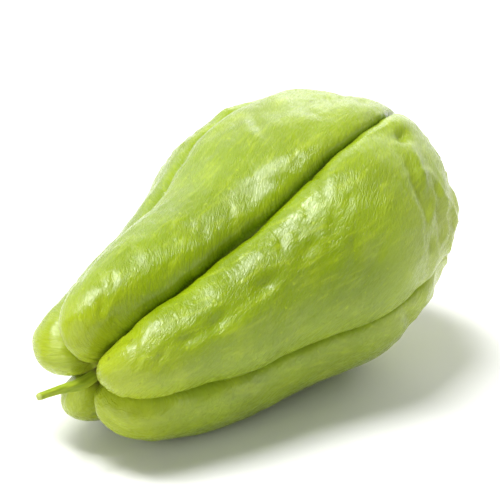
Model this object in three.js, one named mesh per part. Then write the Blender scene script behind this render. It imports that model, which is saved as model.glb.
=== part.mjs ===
// Chayote squash, picked, lying on its side. Millimetres, +Z up.
//
// The fruit axis runs along +X, from the pit where the stem grows to the blossom end, and is tilted
// nose-down onto the surface that the fruit lies on. Five lobes run the whole length, with a furrow
// between each two. A bearing is an angle about the axis in degrees: 0 is -Y, 90 is up, 180 is +Y.

import * as THREE from "three";

// ---- Driving dimensions ----

const AXIS_LENGTH = 140;
const PIT_DEPTH = 9;
const BELLY_RADIUS = 44;

// Places along the skin, from the stem pit to the blossom end. x is the distance along the axis and
// radius is the lobes' height above it. furrow is the depth of the valley between two lobes, and
// crease the depth of the sharp fold at its bottom. A lower rounding makes a lobe boxier.
const STATIONS = [
  { name: "pit floor", x: PIT_DEPTH, radius: 0, furrow: 0, crease: 0, rounding: 0.6 },
  { name: "floor rim", x: 8.5, radius: 3, furrow: 0, crease: 0, rounding: 0.6 },
  { name: "mouth", x: 2, radius: 6, furrow: 6, crease: 0.5, rounding: 0.6 },
  { name: "tip", x: 0, radius: 14, furrow: 9, crease: 1, rounding: 0.6 },
  { name: "shoulder", x: 8, radius: 23, furrow: 9, crease: 1.5, rounding: 0.6 },
  { name: "neck", x: 30, radius: 30, furrow: 8, crease: 1.5, rounding: 0.55 },
  { name: "waist", x: 60, radius: 36, furrow: 6, crease: 1.5, rounding: 0.5 },
  { name: "belly", x: 90, radius: BELLY_RADIUS, furrow: 5, crease: 2, rounding: 0.45 },
  { name: "end", x: 120, radius: 38, furrow: 5, crease: 1.5, rounding: 0.5 },
  { name: "heel", x: 136, radius: 20, furrow: 4, crease: 1, rounding: 0.55 },
  { name: "blossom", x: 138, radius: 0, furrow: 0, crease: 0, rounding: 0.6 },
];
const CREASE_WIDTH = 3;
const SMALLEST_GIRTH_RADIUS = 6; // the crease gets no narrower than it is here

// The lobes in order of bearing. swell is how far each stands out from the common outline. furrow
// is the one at its higher bearing: its bearings, and its depth as a share of the usual depth.
const LOBES = [
  {
    side: "near",
    swell: { neck: 1, belly: 2, end: -4 },
    furrow: { start: 60, middle: 60, end: 60, depth: 1 },
  },
  {
    side: "top",
    swell: { neck: 1, belly: -3, end: -6 },
    furrow: { start: 130, middle: 135, end: 140, depth: 1 },
  },
  {
    side: "far",
    swell: { neck: -1, belly: 0, end: 0 },
    furrow: { start: 205, middle: 205, end: 200, depth: 1 },
  },
  {
    side: "far_under",
    swell: { neck: 0, belly: -3, end: 0 },
    furrow: { start: 265, middle: 270, end: 270, depth: 1.5 },
  },
  {
    side: "near_under",
    swell: { neck: 0.5, belly: -2.5, end: -6 },
    furrow: { start: 335, middle: 345, end: 355, depth: 1 },
  },
];

// The fruit is wider than it is tall, by this much each way at the belly.
const OVAL = 3;

// Every point is raised or sunk along a ray from the core line, a stretch of the axis.
const CORE = { start: 25, end: 100, softness: 6 };

// The axis sags, most at its middle, and is tilted nose-down.
const SAG = 7;
const TILT = 12.5;

// The skin is pressed flat this deep where it carries the fruit.
const PRESSED_DEPTH = 0.5;

// Stem stub: its centre line as [forward of the pit floor, toward +Y, up], and its radius along it.
const STEM_GAP = 0.7;
const STEM_LINE = [[STEM_GAP, 0, 0], [8, 0, -1], [16, 0.5, 0], [24, 0, 1]];
const STEM_RADIUS = [1.5, 1.7, 1.2, 1];
const STEM_RIDGES = 5;
const STEM_RIDGE_HEIGHT = 0.06;

// Mesh steps.
const ROWS = 60;
const COLUMNS_PER_LOBE = 13;
const STEM_ROWS = 16;
const STEM_SIDES = 15;

const FRUIT_FINISH = { color: 0x9cc02c, roughness: 0.38, metalness: 0 };
const STEM_FINISH = { color: 0x8fa83a, roughness: 0.6, metalness: 0 };

// ---- Shared shapes ----

const degrees = THREE.MathUtils.degToRad;

// Smooth curve through values spaced evenly from 0 to 1.
function along(values) {
  const points = values.map((value, index) => new THREE.Vector2(index, value));
  const curve = new THREE.SplineCurve(points);
  return (share) => curve.getPoint(share).y;
}

// Rises from 0 with slope 1, rounded off over the given softness.
function softRamp(value, softness) {
  return softness * Math.log1p(Math.exp(value / softness));
}

// Closes a stack of rings into one solid, with a fan of triangles at each end.
function closedSkin(startPoint, rings, endPoint) {
  const sides = rings[0].length;
  const points = [startPoint, ...rings.flat(), endPoint];
  const last = points.length - 1;
  const at = (ring, side) => 1 + ring * sides + (side % sides);
  const faces = [];
  for (let side = 0; side < sides; side += 1) {
    faces.push(0, at(0, side), at(0, side + 1));
    faces.push(last, at(rings.length - 1, side + 1), at(rings.length - 1, side));
    for (let ring = 0; ring < rings.length - 1; ring += 1) {
      const corner = [at(ring, side), at(ring + 1, side), at(ring + 1, side + 1), at(ring, side + 1)];
      faces.push(corner[0], corner[1], corner[2]);
      faces.push(corner[0], corner[2], corner[3]);
    }
  }
  const geometry = new THREE.BufferGeometry().setFromPoints(points);
  geometry.setIndex(faces);
  geometry.computeVertexNormals();
  return geometry;
}

// ---- Fruit ----

const outline = new THREE.SplineCurve(STATIONS.map(({ x, radius }) => new THREE.Vector2(x, radius)));
const furrowDepth = along(STATIONS.map((station) => station.furrow));
const creaseDepth = along(STATIONS.map((station) => station.crease));
const lobeRounding = along(STATIONS.map((station) => station.rounding));

// A lobe's swell starts at the shoulder and ends at the blossom.
function alongLobe({ neck, belly, end }) {
  return along([0, 0, 0, neck, belly, end, 0]);
}

function alongFurrow({ start, middle, end }, turn) {
  return along([start - turn, middle - turn, end - turn]);
}

const lobes = LOBES.map((lobe, index) => {
  const before = LOBES.at(index - 1).furrow;
  return {
    swell: alongLobe(lobe.swell),
    lower: alongFurrow(before, index === 0 ? 360 : 0),
    upper: alongFurrow(lobe.furrow, 0),
    lowerDepth: before.depth,
    upperDepth: lobe.furrow.depth,
  };
});

// How far the skin lies inside the common outline, at a share of the way across a lobe.
function inset(lobe, share, across, bearing, radius) {
  const width = degrees(lobe.upper(share) - lobe.lower(share));
  const arch = Math.sin(Math.PI * across);
  const depthShare = THREE.MathUtils.lerp(lobe.lowerDepth, lobe.upperDepth, across);
  const valley = furrowDepth(share) * depthShare * (1 - arch ** lobeRounding(share));
  const fromFurrow = Math.min(across, 1 - across) * width * Math.max(radius, SMALLEST_GIRTH_RADIUS);
  const crease = creaseDepth(share) * Math.exp(-fromFurrow / CREASE_WIDTH);
  const oval = OVAL * Math.cos(2 * bearing) * Math.min(radius / BELLY_RADIUS, 1) ** 2;
  return valley + crease - lobe.swell(share) * arch - oval;
}

// A point of the skin about a straight axis that starts at the origin.
function skinPoint(lobe, share, across) {
  const crest = outline.getPoint(share);
  const radius = Math.max(crest.y, 0);
  const bearing = degrees(THREE.MathUtils.lerp(lobe.lower(share), lobe.upper(share), across));
  const afterStart = CORE.start + softRamp(crest.x - CORE.start, CORE.softness);
  const core = CORE.end - softRamp(CORE.end - afterStart, CORE.softness);
  const ray = Math.hypot(crest.x - core, radius);
  const kept = 1 - inset(lobe, share, across, bearing, radius) / ray;
  const x = core + (crest.x - core) * kept;
  return new THREE.Vector3(x, -radius * kept * Math.cos(bearing), radius * kept * Math.sin(bearing));
}

// Sags and tilts a point of the straight fruit into its resting place, about the axis's middle.
function lay(point) {
  const share = point.x / AXIS_LENGTH;
  const sag = SAG * 4 * share * (1 - share);
  const laid = new THREE.Vector3(point.x - AXIS_LENGTH / 2, point.y, point.z - sag);
  return laid.applyAxisAngle(new THREE.Vector3(0, 1, 0), -degrees(TILT));
}

// Columns crowd toward the furrows, where the skin bends most.
function columnShare(step) {
  const even = step / COLUMNS_PER_LOBE;
  const crowded = (1 - Math.cos(Math.PI * even)) / 2;
  return (even + crowded) / 2;
}

function fruitRing(share) {
  const ring = [];
  for (const lobe of lobes) {
    for (let step = 0; step < COLUMNS_PER_LOBE; step += 1) {
      ring.push(lay(skinPoint(lobe, share, columnShare(step))));
    }
  }
  return ring;
}

function fruitGeometry() {
  const rings = [];
  for (let row = 1; row < ROWS; row += 1) {
    rings.push(fruitRing(row / ROWS));
  }
  const pitFloor = lay(new THREE.Vector3(PIT_DEPTH, 0, 0));
  const blossomEnd = lay(new THREE.Vector3(STATIONS.at(-1).x, 0, 0));
  return closedSkin(pitFloor, rings, blossomEnd);
}

// Moves the whole fruit so that its lowest skin is pressed flat into the surface at z = 0.
function pressOntoSurface(geometry) {
  geometry.computeBoundingBox();
  const drop = geometry.boundingBox.min.z + PRESSED_DEPTH;
  geometry.translate(0, 0, -drop);
  const position = geometry.getAttribute("position");
  for (let index = 0; index < position.count; index += 1) {
    position.setZ(index, Math.max(position.getZ(index), 0));
  }
  return drop;
}

// ---- Stem stub ----

function stemGeometry() {
  const points = STEM_LINE.map(([forward, sideways, up]) => {
    return lay(new THREE.Vector3(PIT_DEPTH - forward, 0, 0)).add(new THREE.Vector3(0, sideways, up));
  });
  const line = new THREE.CatmullRomCurve3(points);
  const radius = along(STEM_RADIUS);
  const frames = line.computeFrenetFrames(STEM_ROWS, false);
  const rings = [];
  for (let row = 0; row <= STEM_ROWS; row += 1) {
    rings.push(stemRing(line.getPointAt(row / STEM_ROWS), radius(row / STEM_ROWS), frames, row));
  }
  return closedSkin(line.getPointAt(0), rings, line.getPointAt(1));
}

function stemRing(centre, radius, frames, row) {
  const ring = [];
  for (let side = 0; side < STEM_SIDES; side += 1) {
    const angle = (-2 * Math.PI * side) / STEM_SIDES;
    const reach = radius * (1 + STEM_RIDGE_HEIGHT * Math.cos(STEM_RIDGES * angle));
    const point = centre.clone();
    point.addScaledVector(frames.normals[row], reach * Math.cos(angle));
    point.addScaledVector(frames.binormals[row], reach * Math.sin(angle));
    ring.push(point);
  }
  return ring;
}

// ---- Assembly ----

function buildChayote() {
  const skin = fruitGeometry();
  const drop = pressOntoSurface(skin);
  const fruit = new THREE.Mesh(skin, new THREE.MeshStandardMaterial(FRUIT_FINISH));
  fruit.name = "fruit";

  const stub = stemGeometry().translate(0, 0, -drop);
  const stem = new THREE.Mesh(stub, new THREE.MeshStandardMaterial(STEM_FINISH));
  stem.name = "stem_stub";

  const chayote = new THREE.Group();
  chayote.add(fruit, stem);
  const middle = new THREE.Box3().setFromObject(chayote).getCenter(new THREE.Vector3());
  chayote.position.set(-middle.x, -middle.y, 0);
  return chayote;
}

export default buildChayote();
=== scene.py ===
"""A picked chayote squash, lying on its side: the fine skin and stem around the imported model."""
import math

import bpy
import numpy as np
from mathutils import Matrix, Vector


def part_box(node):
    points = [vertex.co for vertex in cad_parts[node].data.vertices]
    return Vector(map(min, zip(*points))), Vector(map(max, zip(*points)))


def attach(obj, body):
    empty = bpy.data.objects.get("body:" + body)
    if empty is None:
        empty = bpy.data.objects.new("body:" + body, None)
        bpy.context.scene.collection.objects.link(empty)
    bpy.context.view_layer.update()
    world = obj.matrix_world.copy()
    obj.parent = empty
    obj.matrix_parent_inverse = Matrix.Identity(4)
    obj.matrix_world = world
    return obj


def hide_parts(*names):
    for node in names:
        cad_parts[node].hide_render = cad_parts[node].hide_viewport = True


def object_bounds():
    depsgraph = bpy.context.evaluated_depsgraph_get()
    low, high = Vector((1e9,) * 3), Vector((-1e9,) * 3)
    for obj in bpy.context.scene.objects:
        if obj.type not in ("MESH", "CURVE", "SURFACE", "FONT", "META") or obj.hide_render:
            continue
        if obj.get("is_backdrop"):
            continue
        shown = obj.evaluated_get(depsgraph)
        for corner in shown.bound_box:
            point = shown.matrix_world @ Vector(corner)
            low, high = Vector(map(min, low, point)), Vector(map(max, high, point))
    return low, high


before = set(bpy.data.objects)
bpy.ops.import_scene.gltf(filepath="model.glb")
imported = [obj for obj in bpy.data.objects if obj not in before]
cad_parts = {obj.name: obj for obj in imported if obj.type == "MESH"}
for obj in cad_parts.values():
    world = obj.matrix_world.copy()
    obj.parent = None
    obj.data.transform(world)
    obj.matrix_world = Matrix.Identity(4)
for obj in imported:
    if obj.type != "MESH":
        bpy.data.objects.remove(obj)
CAD_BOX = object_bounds()
MM = 0.001

# ---------------------------------------------------------------------------------------------
# The fruit's form, in millimetres. The axis runs along +X from the stem pit to the blossom end.
# A bearing is an angle about the axis in degrees: 0 is -Y, 90 is up, 180 is +Y. A share is a
# place along the skin, from 0 at the pit floor to 1 at the blossom.
# ---------------------------------------------------------------------------------------------

AXIS_LENGTH = 140
PIT_DEPTH = 9
BELLY_RADIUS = 44

# Places along the skin, from the stem pit to the blossom end: the distance along the axis, the
# radius of the lobes' crest, the depth of the furrow, that of its crease, and the lobes' rounding.
STATIONS = (
    (PIT_DEPTH, 0, 0, 0, 0.6),  # pit floor
    (8.5, 3, 0, 0, 0.6),  # floor rim
    (2, 6, 6, 0.5, 0.6),  # mouth
    (0, 14, 9, 1, 0.6),  # tip
    (8, 23, 9, 1.5, 0.6),  # shoulder
    (30, 30, 8, 1.5, 0.55),  # neck
    (60, 36, 6, 1.5, 0.5),  # waist
    (90, BELLY_RADIUS, 5, 2, 0.45),  # belly
    (120, 38, 5, 1.5, 0.5),  # end
    (136, 20, 4, 1, 0.55),  # heel
    (138, 0, 0, 0, 0.6),  # blossom
)
OUTLINE = [station[:2] for station in STATIONS]
FURROW_DEPTH = [station[2] for station in STATIONS]
CREASE_DEPTH = [station[3] for station in STATIONS]
LOBE_ROUNDING = [station[4] for station in STATIONS]
CREASE_WIDTH = 3
SMALLEST_GIRTH_RADIUS = 6  # the crease gets no narrower than it is here

# The lobes in order of bearing. swell: how far each stands out at the neck, belly and end.
# bearings (start, middle, end) and depth are those of the furrow at its higher bearing.
LOBES = (
    dict(name="near", swell=(1, 2, -4), depth=1, bearings=(60, 60, 60)),
    dict(name="top", swell=(1, -3, -6), depth=1, bearings=(130, 135, 140)),
    dict(name="far", swell=(-1, 0, 0), depth=1, bearings=(205, 205, 200)),
    dict(name="far_under", swell=(0, -3, 0), depth=1.5, bearings=(265, 270, 270)),
    dict(name="near_under", swell=(0.5, -2.5, -6), depth=1, bearings=(335, 345, 355)),
)
LOBE_NUMBER = {lobe["name"]: number for number, lobe in enumerate(LOBES)}

OVAL = 3  # the fruit is wider than it is tall, by this much each way at the belly
CORE_START, CORE_END, CORE_SOFTNESS = 25, 100, 6  # the skin moves on rays from this stretch
SAG, TILT = 7, 12.5
PRESSED_DEPTH = 0.5  # of the flats that carry the fruit
SKIN_LENGTH = 190  # from the pit to the blossom end along the skin

# A seam is the thin dark line at the bottom of a furrow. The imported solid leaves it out.
SEAM_DEPTH, SEAM_WIDTH = 1.5, 0.6
SEAM_FULL_RADIUS = 12  # the seam runs out toward the axis, from this radius inward
SEAM_TINT_WIDTH = 2.5  # how far the painted shade along each seam, and the pit's brown, reach on each side

# Each furrow wanders sideways in a fast and a slow wave, from just past the lobes' tips. LENGTH is
# in millimetres for each radian, STEP is the phase from one furrow to the next, in radians.
SEAM_WAVE = 0.5
FAST_PART, FAST_LENGTH, FAST_STEP = 0.35, 1.9, 2.1
SLOW_PART, SLOW_LENGTH, SLOW_STEP = 0.65, 4.1, 1.3
SWAY_SIZE, SWAY_LENGTH = 1.2, 5.3  # keeps the fast wave from repeating evenly
PAST_TIPS = (0.35, 0.1)  # where the waves start, and over how much of the skin they grow

# The skin's grain coordinates: millimetres along and across a lobe, and the lobe itself.
LOBE_SPREAD = 1.2  # a lobe's width as a share of the radius
LOBE_STEP = 50  # keeps the grain of one lobe apart from the next

ROWS = 234
COLUMNS_PER_LOBE = 84


def along(values, share):
    """Smooth curve through values spaced evenly from 0 to 1."""
    points = np.asarray(values, float)
    last = len(points) - 1
    place = np.clip(share, 0, 1) * last
    index = np.minimum(np.floor(place).astype(int), last - 1)
    part = (place - index).reshape(place.shape + (1,) * (points.ndim - 1))
    before = points[np.maximum(index - 1, 0)]
    start, end = points[index], points[index + 1]
    after = points[np.minimum(index + 2, last)]
    slope_start, slope_end = (end - before) / 2, (after - start) / 2
    cubic = (2 * start - 2 * end + slope_start + slope_end) * part**3
    square = (-3 * start + 3 * end - 2 * slope_start - slope_end) * part**2
    return cubic + square + slope_start * part + start


def soft_ramp(value, softness):
    """Rises from 0 with slope 1, rounded off over the given softness."""
    return softness * np.logaddexp(0, value / softness)


def ramp(value, start, run, low=0):
    """Rises evenly to 1 over a run from the start, and is never below the low value."""
    return np.clip((value - start) / run, low, 1)


def value_noise(points, size, seed):
    """Smooth noise from -1 to 1 over points in millimetres, with features of the given size."""
    side = 24
    grid = np.random.default_rng(seed).uniform(-1, 1, (side, side, side))
    cell = points / np.asarray(size, float)
    low = np.floor(cell).astype(int)
    part = cell - low
    part = part**3 * (part * (part * 6 - 15) + 10)  # eased, so that the cells don't show
    total = 0
    for corner in np.ndindex(2, 2, 2):
        spot = (low + corner) % side
        weight = np.prod(np.where(corner, part, 1 - part), axis=-1)
        total = total + weight * grid[spot[..., 0], spot[..., 1], spot[..., 2]]
    return total


def seam_wave(furrow, share):
    """How far a furrow wanders sideways from its even line, in millimetres."""
    place = share * SKIN_LENGTH
    sway = SWAY_SIZE * np.sin(place / SWAY_LENGTH + furrow)
    fast = np.sin(place / FAST_LENGTH + furrow * FAST_STEP + sway)
    slow = np.sin(place / SLOW_LENGTH + furrow * SLOW_STEP)
    return SEAM_WAVE * ramp(share, *PAST_TIPS) * (FAST_PART * fast + SLOW_PART * slow)


def skin(number, share, across):
    """A lobe's skin about the straight axis, with the distance from each point to its furrow."""
    lobe, before = LOBES[number], LOBES[number - 1]
    turn = 360 if number == 0 else 0
    outline = along(OUTLINE, share)
    x, radius = outline[..., 0], np.maximum(outline[..., 1], 0)
    girth = np.maximum(radius, SMALLEST_GIRTH_RADIUS)
    lower = np.radians(along([b - turn for b in before["bearings"]], share))
    upper = np.radians(along(lobe["bearings"], share))
    lower = lower + seam_wave((number - 1) % len(LOBES), share) / girth
    upper = upper + seam_wave(number, share) / girth
    bearing = lower + (upper - lower) * across
    arch = np.sin(np.pi * across)
    depth_share = before["depth"] + (lobe["depth"] - before["depth"]) * across
    valley = along(FURROW_DEPTH, share) * depth_share * (1 - arch ** along(LOBE_ROUNDING, share))
    from_furrow = np.minimum(across, 1 - across) * (upper - lower) * girth
    crease = along(CREASE_DEPTH, share) * np.exp(-from_furrow / CREASE_WIDTH)
    seam_depth = SEAM_DEPTH * np.minimum(radius / SEAM_FULL_RADIUS, 1)
    seam = seam_depth * np.exp(-from_furrow / SEAM_WIDTH)
    oval = OVAL * np.cos(2 * bearing) * np.minimum(radius / BELLY_RADIUS, 1) ** 2
    swell = along((0, 0, 0, *lobe["swell"], 0), share) * arch
    inset = valley + crease + seam - swell - oval
    after_start = CORE_START + soft_ramp(x - CORE_START, CORE_SOFTNESS)
    core = CORE_END - soft_ramp(CORE_END - after_start, CORE_SOFTNESS)
    kept = 1 - inset / np.hypot(x - core, radius)
    reach = radius * kept
    point = (core + (x - core) * kept, -reach * np.cos(bearing), reach * np.sin(bearing))
    return np.stack(point, -1), from_furrow


def lay(point):
    """Sags and tilts a point of the straight fruit into its resting place."""
    share = point[..., 0] / AXIS_LENGTH
    x = point[..., 0] - AXIS_LENGTH / 2
    z = point[..., 2] - SAG * 4 * share * (1 - share)
    tilt = math.radians(TILT)
    cos, sin = math.cos(tilt), math.sin(tilt)
    return np.stack([x * cos - z * sin, point[..., 1], x * sin + z * cos], -1)


def column_shares():
    """Columns crowd toward the furrows, where the skin bends most."""
    even = np.arange(COLUMNS_PER_LOBE) / COLUMNS_PER_LOBE
    return (even + (1 - np.cos(np.pi * even)) / 2) / 2


def fruit_grid():
    """Points of the laid fruit in rows and columns, with each one's place on the skin."""
    rows = np.linspace(0, 1, ROWS + 1)[1:-1, None]
    share, across = np.broadcast_arrays(rows, column_shares()[None, :])
    steps = np.linalg.norm(np.diff(along(OUTLINE, rows[:, 0]), axis=0), axis=1)
    walked = np.broadcast_to(np.concatenate([[0], np.cumsum(steps)])[:, None], share.shape)
    points, grain, seams = [], [], []
    for number in range(len(LOBES)):
        straight, from_furrow = skin(number, share, across)
        girth = np.hypot(straight[..., 1], straight[..., 2])
        sideways = (across - 0.5) * LOBE_SPREAD * girth
        points.append(lay(straight))
        grain.append(np.stack([walked, sideways, np.full(share.shape, number * LOBE_STEP)], -1))
        seams.append(from_furrow)
    return np.concatenate(points, 1), np.concatenate(grain, 1), np.concatenate(seams, 1), share


def grid_normals(points):
    """Outward normals of the rows and columns."""
    along_rows = np.gradient(points, axis=0)
    around = np.roll(points, -1, 1) - np.roll(points, 1, 1)
    normal = np.cross(along_rows, around)
    return normal / np.maximum(np.linalg.norm(normal, axis=-1, keepdims=True), 1e-9)


# ---------------------------------------------------------------------------------------------
# Marks and uneven growth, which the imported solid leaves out
# ---------------------------------------------------------------------------------------------

# The larger marks: the lobe, how far along and across it, then in millimetres the length, the
# width and the depth, which is negative for a bump, and the mark's turn from the axis in degrees.
MARKS = (
    ("near", 0.52, 0.62, 14, 4, 0.7, 5),  # trough along the lobe's upper flank
    ("near", 0.42, 0.56, 2, 1.6, 0.7, 30),  # five dents in the trough
    ("near", 0.46, 0.58, 3, 1.8, 1.3, -10),
    ("near", 0.5, 0.6, 3, 2, 0.9, 25),
    ("near", 0.56, 0.63, 3.5, 2, 1.3, -5),
    ("near", 0.61, 0.66, 3, 1.6, 0.9, 20),
    ("near", 0.48, 0.52, 5, 1.8, -0.3, 5),  # three raised edges below the trough
    ("near", 0.58, 0.57, 5, 1.8, -0.3, 5),
    ("near", 0.5, 0.5, 9, 3, -0.5, 10),
    ("near", 0.74, 0.5, 9, 2, 1.4, 60),  # three folds round the blossom end
    ("near", 0.76, 0.35, 8, 2, 1.4, 55),
    ("near", 0.73, 0.25, 5, 1.8, 1.2, 50),
    ("near", 0.76, 0.6, 7, 2, -1.2, 55),  # ridge beside the folds
    ("near", 0.78, 0.8, 2.5, 2, 1.8, 0),  # dimple by the upper furrow, and a swelling past it
    ("near", 0.8, 0.88, 5, 4, -1.2, 0),
    ("near", 0.8, 0.15, 7, 4, -1.5, 0),  # overhang above the near under lobe
    ("top", 0.7, 0.5, 7, 1.7, 1.1, 55),  # long fold and its raised edge
    ("top", 0.7, 0.6, 6, 1.8, -0.6, 45),
    ("top", 0.4, 0.1, 7, 3.5, 1.2, 0),  # hollow at the shoulder, beside the near lobe
    ("far", 0.75, 0.1, 5, 4, -0.9, 0),  # swelling beside the top lobe
    ("near_under", 0.7, 0.9, 4.5, 1.4, 0.9, -70),  # short fold beside the near lobe
    ("near_under", 0.3, 0.6, 5.5, 1.5, 0.7, 0),  # fold at the tip
    ("near_under", 0.78, 0.9, 8, 5, 1.5, 0),  # hollow under the near lobe's overhang
)
MARK_PROBE = 0.004  # how far along and across a lobe a mark's directions are taken

# Small dents: their number, their seed and the ranges of their place and size, in a mark's order.
SMALL_DENTS, DENT_SEED = 28, 21
DENT_RANGES = ((0.4, 0.82), (0.12, 0.88), (1.8, 3.6), (1.0, 1.6), (0.3, 0.7), (10, 60))

# Features of the uneven growth: their size in millimetres and the seed of their noise.
GROWTH = dict(
    swells=((16, 12, 12), 11),
    hollows=((7, 5, 5), 12),
    ripples=((3, 2.4, 2.4), 13),
    ridges=((9, 6, 10), 17),
    knobs=(8, 14),
    folds=((6, 1.8, 50), 15),
    patches=(22, 16),
)
SWELL_HEIGHT, HOLLOW_DEPTH, RIPPLE_HEIGHT = 0.6, 0.28, 0.09
KNOB_HEIGHT, RIDGE_HEIGHT, RIDGE_SHARPNESS = 1.0, 0.8, 4
FOLD_DEPTH, FOLD_TURN, FOLD_THRESHOLD = 0.9, 40, 0.2

# Where the growth shows, as the start, run and lowest value of a ramp. Heights are in
# millimetres above the middle of the axis.
KNOBS_ALONG = (0.68, 0.08)
KNOBS_BELOW = (30, -12, 0.25)
FOLD_PATCHES = (-0.4, 1)
FOLDS_ABOVE = (-25, 15, 0.3)
OUTSIDE_PIT = (0, 0.2)


def small_dents():
    """Short shallow dents scattered over the neck and belly."""
    rng = np.random.default_rng(DENT_SEED)
    for _ in range(SMALL_DENTS):
        lobe = LOBES[rng.integers(len(LOBES))]["name"]
        yield lobe, *(rng.uniform(lowest, highest) for lowest, highest in DENT_RANGES)


def mark_relief(points):
    """Depth of every mark at every point, in millimetres."""
    relief = np.zeros(points.shape[:2])
    for lobe, share, across, length, width, depth, turn in (*MARKS, *small_dents()):
        shares = np.array([share, share + MARK_PROBE, share])
        crossings = np.array([across, across, across + MARK_PROBE])
        centre, ahead, beside = lay(skin(LOBE_NUMBER[lobe], shares, crossings)[0])
        ahead = (ahead - centre) / np.linalg.norm(ahead - centre)
        beside = beside - centre
        beside -= ahead * (beside @ ahead)
        beside /= np.linalg.norm(beside)
        out = np.cross(ahead, beside)
        cos, sin = math.cos(math.radians(turn)), math.sin(math.radians(turn))
        offset = points - centre
        u = offset @ (ahead * cos + beside * sin)
        v = offset @ (beside * cos - ahead * sin)
        w = offset @ out
        spread = -((u / length) ** 2) - (v / width) ** 2 - (w / (length + width)) ** 2
        relief += depth * np.exp(spread)
    return relief


def turned(grain, angle):
    """Grain coordinates turned about the skin's normal."""
    cos, sin = math.cos(math.radians(angle)), math.sin(math.radians(angle))
    first = grain[..., 0] * cos + grain[..., 1] * sin
    second = grain[..., 1] * cos - grain[..., 0] * sin
    return np.stack([first, second, grain[..., 2]], -1)


def finish_skin(points, grain, share):
    """Raises and sinks the skin by its marks and uneven growth."""
    normals = grid_normals(points)
    height = points[..., 2]
    swells = SWELL_HEIGHT * value_noise(points, *GROWTH["swells"])
    hollows = HOLLOW_DEPTH * value_noise(points, *GROWTH["hollows"])
    ripples = RIPPLE_HEIGHT * value_noise(points, *GROWTH["ripples"])
    knobbly = ramp(share, *KNOBS_ALONG)[:, :1] * ramp(height, *KNOBS_BELOW)
    ridges = 1 - RIDGE_SHARPNESS * np.abs(value_noise(points, *GROWTH["ridges"]))
    knobs = KNOB_HEIGHT * value_noise(points, *GROWTH["knobs"])
    knobs = knobbly * (knobs + RIDGE_HEIGHT * np.maximum(ridges, 0))
    folds = value_noise(turned(grain, FOLD_TURN), *GROWTH["folds"]) - FOLD_THRESHOLD
    patches = ramp(value_noise(points, *GROWTH["patches"]), *FOLD_PATCHES)
    folds = FOLD_DEPTH * np.maximum(folds, 0) * (patches * ramp(height, *FOLDS_ABOVE))
    relief = swells + hollows + ripples + knobs - folds - mark_relief(points)
    fade = ramp(share, *OUTSIDE_PIT)[:, :1]
    return points + normals * (relief * fade)[..., None]


# ---------------------------------------------------------------------------------------------
# Meshes
# ---------------------------------------------------------------------------------------------


def mesh_piece(name, verts_mm, faces):
    """A smooth-shaded object made of points in millimetres."""
    mesh = bpy.data.meshes.new(name)
    mesh.from_pydata((verts_mm * MM).tolist(), [], faces)
    mesh.validate()
    mesh.polygons.foreach_set("use_smooth", [True] * len(mesh.polygons))
    mesh.update()
    piece = bpy.data.objects.new(name, mesh)
    bpy.context.scene.collection.objects.link(piece)
    return piece


def closed_faces(rows, sides):
    """Faces of a stack of rings with a pole before the first and after the last."""
    def at(row, side):
        return 1 + row * sides + side % sides

    last = rows * sides + 1
    faces = []
    for side in range(sides):
        faces.append((0, at(0, side), at(0, side + 1)))
        faces.append((last, at(rows - 1, side + 1), at(rows - 1, side)))
        for row in range(rows - 1):
            corners = at(row, side), at(row + 1, side), at(row + 1, side + 1), at(row, side + 1)
            faces.append(corners)
    return faces


def add_attribute(piece, name, values):
    """Stores a number or a vector for each point of the mesh."""
    kind = "FLOAT" if values.ndim == 1 else "FLOAT_VECTOR"
    field = "value" if values.ndim == 1 else "vector"
    attribute = piece.data.attributes.new(name, kind, "POINT")
    attribute.data.foreach_set(field, values.astype(np.float32).ravel())


def with_poles(grid, first, last):
    """Grid values as one list, with a value for each pole."""
    return np.concatenate([[first], grid.reshape(-1, *grid.shape[2:]), [last]])


def place_in_frame(points):
    """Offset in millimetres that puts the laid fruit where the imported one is."""
    low, high = (np.array(corner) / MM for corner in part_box("fruit"))
    centre = (low + high) / 2
    middle = (points.min((0, 1)) + points.max((0, 1))) / 2
    floor = points[..., 2].min() + PRESSED_DEPTH
    return np.array([centre[0] - middle[0], centre[1] - middle[1], -floor])


def build_fruit():
    """The finished skin, with its attributes, and the offset that places it in the frame."""
    base, grain, seams, share = fruit_grid()
    offset = place_in_frame(base)
    points = finish_skin(base, grain, share) + offset
    pit_floor = lay(np.array([PIT_DEPTH, 0.0, 0.0])) + offset
    blossom = lay(np.array([OUTLINE[-1][0], 0.0, 0.0])) + offset
    points[..., 2] = np.maximum(points[..., 2], 0)
    verts = with_poles(points, pit_floor, blossom)
    rows, columns = points.shape[:2]
    piece = mesh_piece("chayote_skin", verts, closed_faces(rows, columns))
    add_attribute(piece, "grain", with_poles(grain, grain[0, 0], grain[-1, 0]))
    add_attribute(piece, "seam", with_poles(np.exp(-seams / SEAM_TINT_WIDTH), 1, 1))
    add_attribute(piece, "share", with_poles(np.tile(share[:, :1], (1, columns)), 0, 1))
    return piece, offset


fruit, OFFSET = build_fruit()

# The stem stub: its centre line as (forward of the pit floor, toward +Y, up) and its radius.
STEM_GAP = 0.7
STEM_LINE = ((STEM_GAP, 0, 0), (8, 0, -1), (16, 0.5, 0), (24, 0, 1))
STEM_RADIUS = (1.5, 1.7, 1.2, 1)
STEM_RIDGES, STEM_RIDGE_HEIGHT = 5, 0.06
STEM_ROWS, STEM_SIDES = 90, 60


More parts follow.
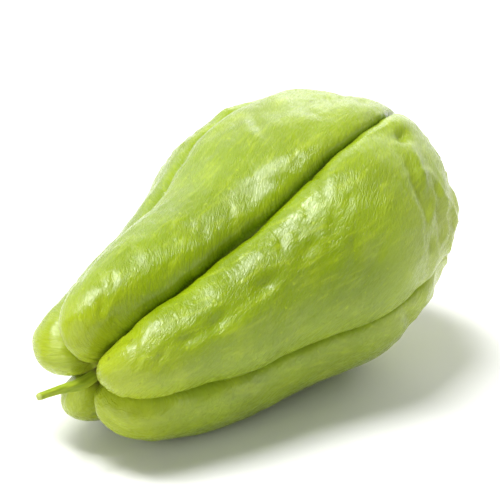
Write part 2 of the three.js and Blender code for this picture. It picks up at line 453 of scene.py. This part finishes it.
def build_stem(offset):
    """The stem stub, a ridged and tapering rod with a flat cut end."""
    straight = np.array([(PIT_DEPTH - forward, 0.0, 0.0) for forward, _, _ in STEM_LINE])
    bend = np.array([(0, sideways, up) for _, sideways, up in STEM_LINE])
    place = np.linspace(0, 1, STEM_ROWS + 1)
    centres = along(lay(straight) + bend + offset, place)
    radius = along(STEM_RADIUS, place)
    ahead = np.gradient(centres, axis=0)
    ahead /= np.linalg.norm(ahead, axis=1, keepdims=True)
    side = np.cross(ahead, (0, 0, 1))
    side /= np.linalg.norm(side, axis=1, keepdims=True)
    up = np.cross(side, ahead)
    angle = 2 * np.pi * np.arange(STEM_SIDES) / STEM_SIDES
    ridge = 1 + STEM_RIDGE_HEIGHT * np.cos(STEM_RIDGES * angle)[None, :]
    reach = radius[:, None] * ridge
    rings = centres[:, None] + side[:, None] * (reach * np.cos(angle))[..., None]
    rings = rings + up[:, None] * (reach * np.sin(angle))[..., None]
    verts = with_poles(rings, centres[0], centres[-1])
    piece = mesh_piece("stem", verts, closed_faces(STEM_ROWS + 1, STEM_SIDES))
    add_attribute(piece, "share", with_poles(np.tile(place[:, None], (1, STEM_SIDES)), 0, 1))
    return piece


stem = build_stem(OFFSET)

# ---------------------------------------------------------------------------------------------
# Materials
# ---------------------------------------------------------------------------------------------

# Colours of the skin, as linear red, green, blue and alpha.
LIME = (0.22, 0.32, 0.001, 1)
DEEP = (0.185, 0.27, 0.001, 1)
PALE = (0.43, 0.54, 0.02, 1)
# Painted shade: a darker green along the furrows, where shade falls.
PAINTED_FURROW_SHADE = (0.15, 0.25, 0.008, 1)
# Painted light: a lighter, yellower green toward the stem-end tips, where the light from the left
# falls.
PAINTED_TIP_LIGHT = (0.39, 0.46, 0.01, 1)
# Painted sheen: a pale green toward the blossom end and on the low flanks, for the reflected light
# there.
PAINTED_SHEEN = (0.53, 0.62, 0.10, 1)
BROWN = (0.10, 0.06, 0.03, 1)

# Colours of the stem.
FIBRE_DARK = (0.24, 0.34, 0.008, 1)
FIBRE_LIGHT = (0.36, 0.45, 0.02, 1)
CUT_END = (0.43, 0.50, 0.10, 1)
FOOT = (0.16, 0.15, 0.03, 1)

# Features for each metre, of the noises that are laid out in space and not along the grain.
MOTTLES, CLOUDS, SPECKS, FLECKS, PORES, FIBRES = 38, 90, 260, 700, 1500, 1800

# Noises that follow the skin's grain: how fast they change along a lobe, across it and from one
# lobe to the next, and their turn from the grain in degrees.
PALE_STREAKS = ((0.1, 0.7, 1), 0)
FINE_STREAKS = ((0.3, 1.7, 1), -20)
CROSS_STREAKS = ((0.35, 0.9, 1), -50)
STEM_STRETCH = (0.08, 1, 1)  # draws the fibres out along the stem

# The height of each bump in metres, and its strength.
FINE_BUMP = (0.35 * MM, 0.75)
CROSS_BUMP = (0.35 * MM, 0.65)
PORE_BUMP = (0.05 * MM, 0.35)
FIBRE_BUMP = (0.15 * MM, 0.6)

SKIN_ROUGHNESS = (0.2, 0.34)  # at the bottoms and the tops of the fine streaks

# Values that are the same all over a surface.
SKIN_SHADER = {
    "IOR": 1.4,
    "Coat Weight": 0.16,
    "Coat Roughness": 0.2,
    "Subsurface Weight": 0.08,
    "Subsurface Radius": (0.6, 1.0, 0.15),
    "Subsurface Scale": 0.003,
}
STEM_SHADER = {"Roughness": 0.5}
FLOOR_SHADER = {"Base Color": (0.9, 0.9, 0.9, 1), "Roughness": 0.8}


class Nodes:
    """Short calls for building one material's node tree."""

    def __init__(self, name, shader_values):
        self.material = bpy.data.materials.new(name)
        self.material.use_nodes = True
        self.tree = self.material.node_tree
        self.shader = self.tree.nodes["Principled BSDF"]
        for socket, value in shader_values.items():
            self.shader.inputs[socket].default_value = value

    def add(self, kind, **settings):
        node = self.tree.nodes.new(kind)
        for key, value in settings.items():
            setattr(node, key, value)
        return node

    def put(self, value, socket):
        """Links an output to a socket, or sets the socket's own value."""
        if isinstance(value, bpy.types.NodeSocket):
            self.tree.links.new(value, socket)
        else:
            socket.default_value = value

    def attribute(self, name, output):
        return self.add("ShaderNodeAttribute", attribute_name=name).outputs[output]

    def multiply(self, first, second):
        node = self.add("ShaderNodeMath", operation="MULTIPLY")
        self.put(first, node.inputs[0])
        self.put(second, node.inputs[1])
        return node.outputs[0]

    def noise(self, vector, scale, detail=2.0, roughness=0.5, distortion=0.0):
        node = self.add("ShaderNodeTexNoise")
        self.put(vector, node.inputs["Vector"])
        node.inputs["Scale"].default_value = scale
        node.inputs["Detail"].default_value = detail
        node.inputs["Roughness"].default_value = roughness
        node.inputs["Distortion"].default_value = distortion
        return node.outputs[0]

    def remap(self, value, low, high, new_low=0.0, new_high=1.0):
        """Eases from the new low to the new high as the value goes from low to high."""
        node = self.add("ShaderNodeMapRange", interpolation_type="SMOOTHSTEP")
        self.put(value, node.inputs[0])
        for socket, number in zip(node.inputs[1:5], (low, high, new_low, new_high)):
            socket.default_value = number
        return node.outputs[0]

    def mix(self, share, first, second):
        """Blends two colours, which are inputs 6 and 7 and output 2 of the node."""
        node = self.add("ShaderNodeMix", data_type="RGBA")
        self.put(share, node.inputs[0])
        self.put(first, node.inputs[6])
        self.put(second, node.inputs[7])
        return node.outputs[2]

    def mapping(self, vector, scale, turn=0.0):
        """Turns the vector about its third axis, then scales it."""
        turning = self.add("ShaderNodeMapping")
        self.put(vector, turning.inputs["Vector"])
        turning.inputs["Rotation"].default_value = (0, 0, math.radians(turn))
        scaling = self.add("ShaderNodeMapping")
        self.put(turning.outputs[0], scaling.inputs["Vector"])
        scaling.inputs["Scale"].default_value = scale
        return scaling.outputs[0]

    def height(self, vector):
        """How high a place is."""
        node = self.add("ShaderNodeSeparateXYZ")
        self.put(vector, node.inputs[0])
        return node.outputs[2]

    def bump(self, height, distance, strength, normal=None):
        node = self.add("ShaderNodeBump")
        self.put(height, node.inputs["Height"])
        node.inputs["Distance"].default_value = distance
        node.inputs["Strength"].default_value = strength
        if normal is not None:
            self.put(normal, node.inputs["Normal"])
        return node.outputs[0]


def skin_colour(n, where, grain):
    """Mottled lime, paler in streaks and brown in the pit, with painted light toward the stem-end
    tips, a painted sheen toward the blossom end and low down, and painted shade along the furrows.
    """
    seam = n.attribute("seam", "Fac")
    share = n.attribute("share", "Fac")
    height = n.height(where)

    mottles = n.remap(n.noise(where, MOTTLES, 3), 0.35, 0.68)
    clouds = n.remap(n.noise(where, CLOUDS, 4, 0.6), 0.5, 0.8, 0, 0.35)
    stretched = n.noise(n.mapping(grain, *PALE_STREAKS), 1.0, 4, 0.65, 0.6)
    streaks = n.remap(stretched, 0.48, 0.72, 0, 0.4)
    # painted light: lighter toward the stem-end tips
    tips = n.remap(share, 0.5, 0.3, 0, 0.6)
    # painted sheen: paler toward the blossom end, more so lower down
    heel = n.multiply(n.remap(share, 0.62, 0.82, 0, 0.75), n.remap(height, 0.065, 0.045, 0.25, 1))
    # painted reflection of the floor: paler on the low flanks
    low_down = n.remap(height, 0.045, 0.02, 0, 0.15)
    # painted shade: darker along the furrows
    furrows = n.remap(seam, 0.6, 1.0, 0, 0.6)
    flecks = n.remap(n.noise(where, FLECKS, 1), 0.70, 0.76, 0, 0.5)
    specks = n.remap(n.noise(where, SPECKS, 1), 0.79, 0.82, 0, 0.35)
    pit = n.multiply(n.remap(share, 0.24, 0.12), n.remap(seam, 0.4, 0.9))

    colour = n.mix(mottles, LIME, DEEP)
    layers = (
        (clouds, PALE),
        (streaks, PALE),
        (tips, PAINTED_TIP_LIGHT),
        (heel, PAINTED_SHEEN),
        (low_down, PAINTED_SHEEN),
        (furrows, PAINTED_FURROW_SHADE),
        (flecks, PALE),
        (specks, BROWN),
        (pit, BROWN),
    )
    for cover, over in layers:
        colour = n.mix(cover, colour, over)
    return colour


def skin_material():
    """Glossy skin with fine streaks, others across them and pores."""
    n = Nodes("chayote_skin", SKIN_SHADER)
    where = n.add("ShaderNodeTexCoord").outputs["Object"]
    grain = n.attribute("grain", "Vector")
    fine = n.noise(n.mapping(grain, *FINE_STREAKS), 1.2, 3, 0.6, 0.8)
    cross = n.noise(n.mapping(grain, *CROSS_STREAKS), 0.7, 2, 0.5, 0.8)
    surface = n.bump(fine, *FINE_BUMP)
    surface = n.bump(cross, *CROSS_BUMP, surface)
    surface = n.bump(n.noise(where, PORES, 2), *PORE_BUMP, surface)
    n.put(skin_colour(n, where, grain), n.shader.inputs["Base Color"])
    n.put(surface, n.shader.inputs["Normal"])
    n.put(n.remap(fine, 0.3, 0.7, *SKIN_ROUGHNESS), n.shader.inputs["Roughness"])
    return n.material


def stem_material():
    """Fibres along the stem, a pale cut end and a dull foot."""
    n = Nodes("stem", STEM_SHADER)
    where = n.add("ShaderNodeTexCoord").outputs["Object"]
    share = n.attribute("share", "Fac")
    fibres = n.noise(n.mapping(where, STEM_STRETCH), FIBRES, 3)
    colour = n.mix(n.remap(fibres, 0.3, 0.7), FIBRE_DARK, FIBRE_LIGHT)
    colour = n.mix(n.remap(share, 0.985, 1.0), colour, CUT_END)
    colour = n.mix(n.remap(share, 0.2, 0.08), colour, FOOT)
    n.put(colour, n.shader.inputs["Base Color"])
    n.put(n.bump(fibres, *FIBRE_BUMP), n.shader.inputs["Normal"])
    return n.material


fruit.data.materials.append(skin_material())
stem.data.materials.append(stem_material())

for piece, node, slot in ((fruit, "fruit", "fruit_skin"), (stem, "stem_stub", "stem")):
    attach(piece, "root")
    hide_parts(node)

# ---------------------------------------------------------------------------------------------
# Stage: floor, light and camera, in metres
# ---------------------------------------------------------------------------------------------

FLOOR_REACH = 6.0
WORLD_STRENGTH = 0.15
LIGHT_TARGET = (0, 0, 0.04)

# Each light's name, place, width, height, watts and turn about its own beam in degrees.
LIGHTS = (
    ("key", (-0.14, 0.19, 0.94), 0.55, 0.28, 12.5, 60),
    ("behind", (0.25, 1.05, 0.55), 1.8, 0.9, 6.0, 0),
    ("left", (-1.15, -0.2, 0.4), 1.2, 0.8, 6.5, 0),
    ("right", (1.1, 0.3, 0.5), 1.4, 1.0, 8.5, 0),
    ("low", (0.6, -1.1, 0.2), 1.2, 0.4, 2.5, 0),
)

CAMERA_AZIMUTH, CAMERA_ELEVATION, CAMERA_DISTANCE = -49, 23, 0.96
CAMERA_LENS, CAMERA_CLIP_START = 245, 0.05
AIM_RIGHT, AIM_UP = 1.5 * MM, 1.5 * MM


def plain_floor():
    """A pale floor, which isn't part of the object."""
    reach = FLOOR_REACH
    corners = [(-reach, -reach, 0), (reach, -reach, 0), (reach, reach, 0), (-reach, reach, 0)]
    mesh = bpy.data.meshes.new("floor")
    mesh.from_pydata(corners, [], [(0, 1, 2, 3)])
    mesh.materials.append(Nodes("floor", FLOOR_SHADER).material)
    floor = bpy.data.objects.new("floor", mesh)
    bpy.context.scene.collection.objects.link(floor)
    floor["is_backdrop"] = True


def soft_box(name, place, width, height, watts, spin):
    """A rectangular light that faces the fruit."""
    light = bpy.data.lights.new(name, "AREA")
    light.shape = "RECTANGLE"
    light.size, light.size_y, light.energy = width, height, watts
    lamp = bpy.data.objects.new(name, light)
    lamp.location = place
    aim = (Vector(LIGHT_TARGET) - Vector(place)).to_track_quat("-Z", "Y").to_matrix().to_4x4()
    lamp.rotation_euler = (aim @ Matrix.Rotation(math.radians(spin), 4, "Z")).to_euler()
    bpy.context.scene.collection.objects.link(lamp)


def world_light():
    """Even white light from all around."""
    world = bpy.data.worlds.new("studio")
    world.use_nodes = True
    world.node_tree.nodes["Background"].inputs["Color"].default_value = (1, 1, 1, 1)
    world.node_tree.nodes["Background"].inputs["Strength"].default_value = WORLD_STRENGTH
    bpy.context.scene.world = world


def scene_camera():
    """A camera that looks at the fruit's middle from its azimuth and elevation."""
    azimuth, elevation = math.radians(CAMERA_AZIMUTH), math.radians(CAMERA_ELEVATION)
    back = Vector((
        math.sin(azimuth) * math.cos(elevation),
        -math.cos(azimuth) * math.cos(elevation),
        math.sin(elevation),
    ))
    right = Vector((math.cos(azimuth), math.sin(azimuth), 0))
    up = back.cross(right)
    middle = Vector(OFFSET * MM)
    camera = bpy.data.objects.new("camera", bpy.data.cameras.new("camera"))
    camera.data.lens = CAMERA_LENS
    camera.data.clip_start = CAMERA_CLIP_START
    camera.location = middle + back * CAMERA_DISTANCE
    aim = middle + right * AIM_RIGHT + up * AIM_UP
    camera.rotation_euler = (aim - camera.location).to_track_quat("-Z", "Y").to_euler()
    bpy.context.scene.collection.objects.link(camera)
    bpy.context.scene.camera = camera


plain_floor()
world_light()
for settings in LIGHTS:
    soft_box(*settings)
scene_camera()
bpy.context.scene.view_settings.view_transform = "Standard"

[[list(corner) for corner in box] for box in (CAD_BOX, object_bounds())]
